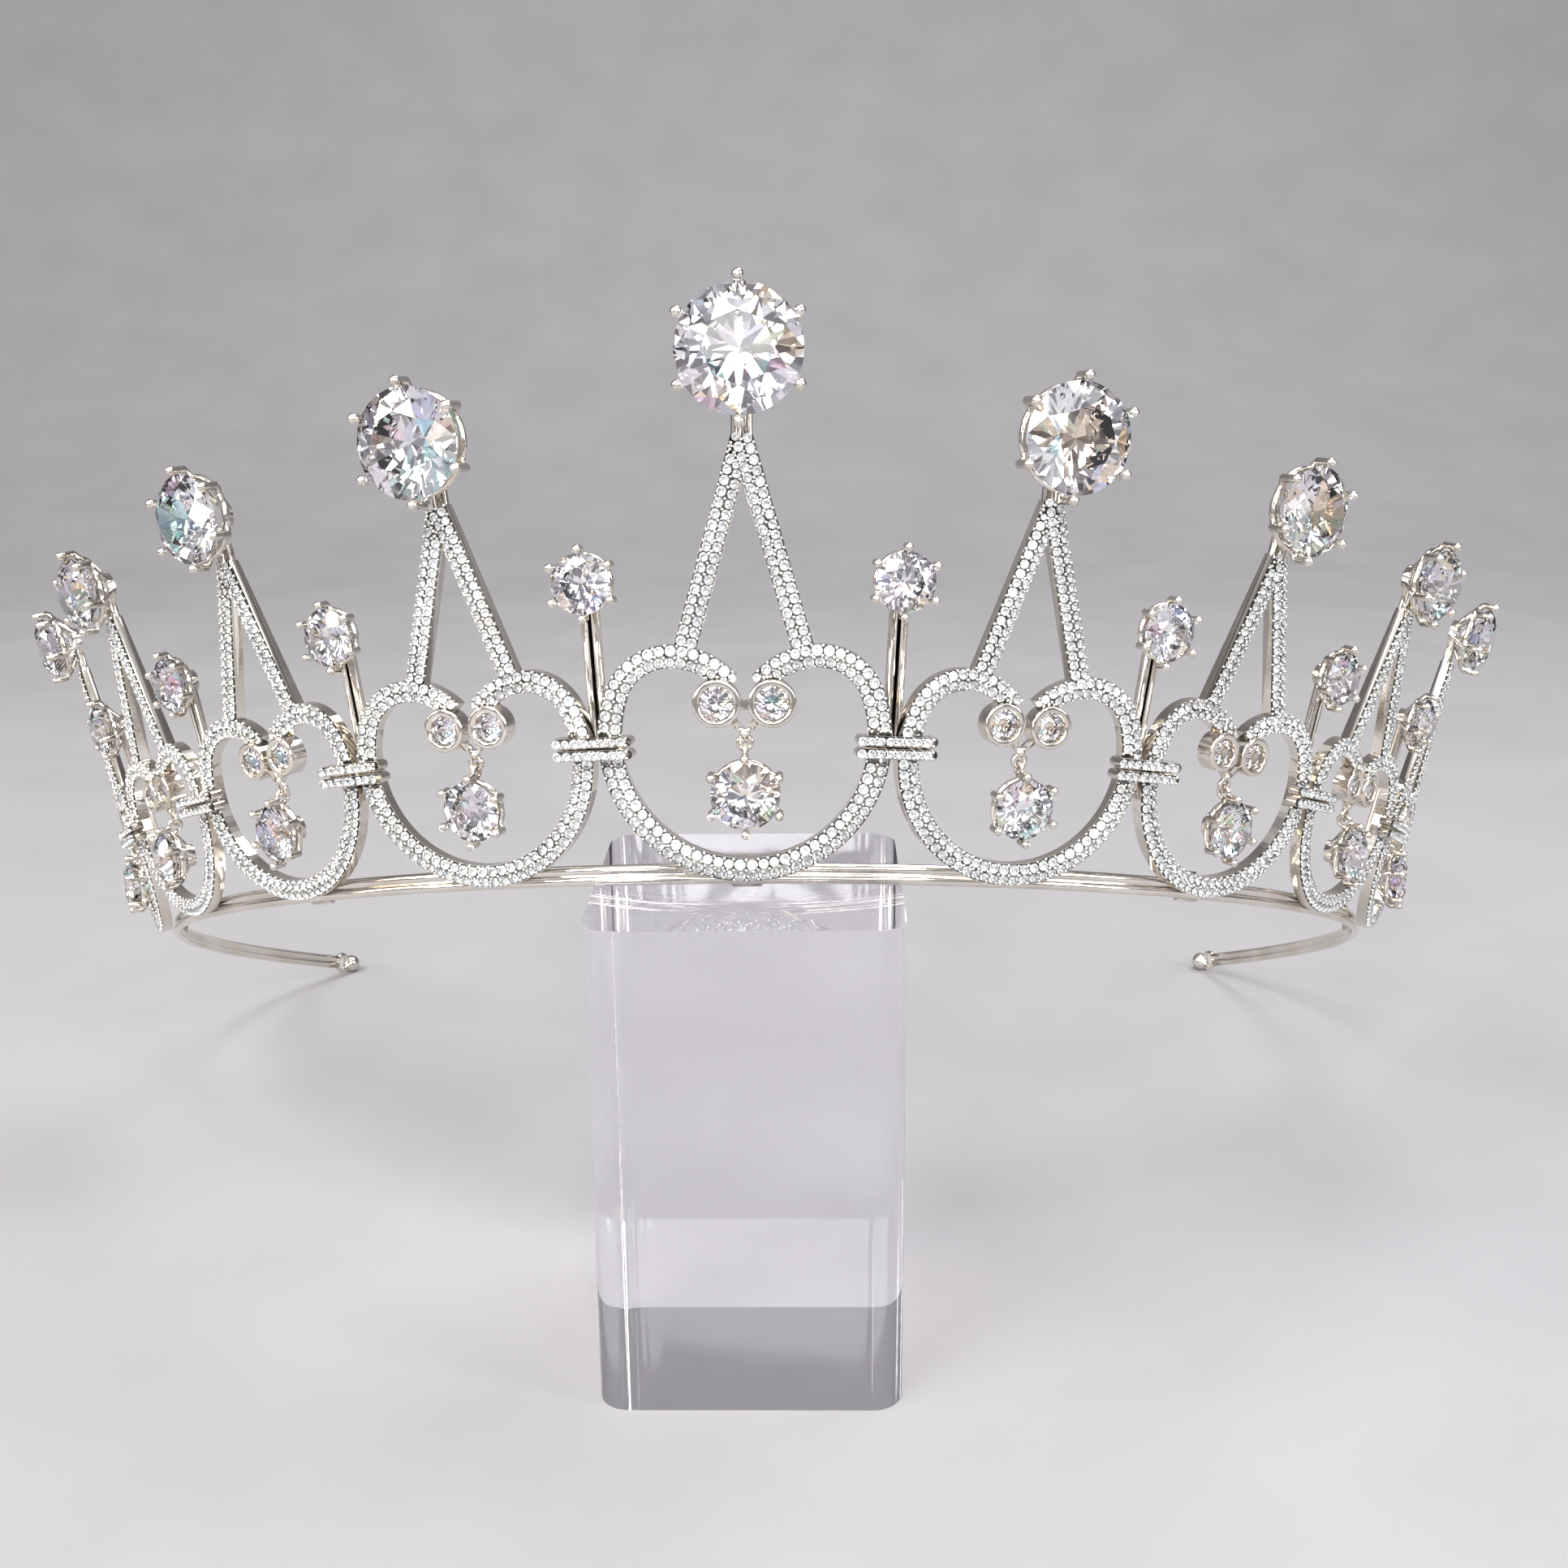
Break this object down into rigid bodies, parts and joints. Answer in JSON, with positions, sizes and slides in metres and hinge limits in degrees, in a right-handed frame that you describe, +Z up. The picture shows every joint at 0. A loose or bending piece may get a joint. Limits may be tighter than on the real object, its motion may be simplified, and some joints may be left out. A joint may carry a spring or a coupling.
{
  "type": "bridal crown on display block",
  "caption": "Open bridal crown of tall graduated paved hoop motifs with round claw-set stones and small hanging drops, leaning on a clear square display block.",
  "frame": {"origin": "middle of the display block's foot, on the surface it stands on", "axes": "+X to the viewer's right across the crown, -Y towards the viewer in front of the crown, +Z up"},
  "size_m": [0.184, 0.1184, 0.1079],
  "materials": {
    "silver_metal": "polished rhodium plate",
    "clear_stone": "faceted, polished",
    "clear_block": "clear, polished"
  },
  "bodies": {
    "root": {"block": "clear_block", "base_band": "silver_metal", "motif_1": "silver_metal", "motif_2": "silver_metal", "motif_3": "silver_metal", "motif_4": "silver_metal", "motif_5": "silver_metal", "motif_6": "silver_metal", "motif_7": "silver_metal", "motif_8": "silver_metal", "motif_9": "silver_metal", "stem_1": "silver_metal", "stem_2": "silver_metal", "stem_3": "silver_metal", "stem_4": "silver_metal", "stem_5": "silver_metal", "stem_6": "silver_metal", "stem_7": "silver_metal", "stem_8": "silver_metal", "tie_bars": "silver_metal", "drop_1": "silver_metal", "drop_2": "silver_metal", "drop_3": "silver_metal", "drop_4": "silver_metal", "drop_5": "silver_metal", "drop_6": "silver_metal", "drop_7": "silver_metal", "drop_8": "silver_metal", "drop_9": "silver_metal", "crown_stone_1": "clear_stone", "crown_stone_2": "clear_stone", "crown_stone_3": "clear_stone", "crown_stone_4": "clear_stone", "crown_stone_5": "clear_stone", "crown_stone_6": "clear_stone", "crown_stone_7": "clear_stone", "crown_stone_8": "clear_stone", "crown_stone_9": "clear_stone", "top_stone_1": "clear_stone", "top_stone_2": "clear_stone", "top_stone_3": "clear_stone", "top_stone_4": "clear_stone", "top_stone_5": "clear_stone", "top_stone_6": "clear_stone", "top_stone_7": "clear_stone", "top_stone_8": "clear_stone", "drop_stone_1": "clear_stone", "drop_stone_2": "clear_stone", "drop_stone_3": "clear_stone", "drop_stone_4": "clear_stone", "drop_stone_5": "clear_stone", "drop_stone_6": "clear_stone", "drop_stone_7": "clear_stone", "drop_stone_8": "clear_stone", "drop_stone_9": "clear_stone", "bezel_stones": "clear_stone"}
  },
  "joints": []
}
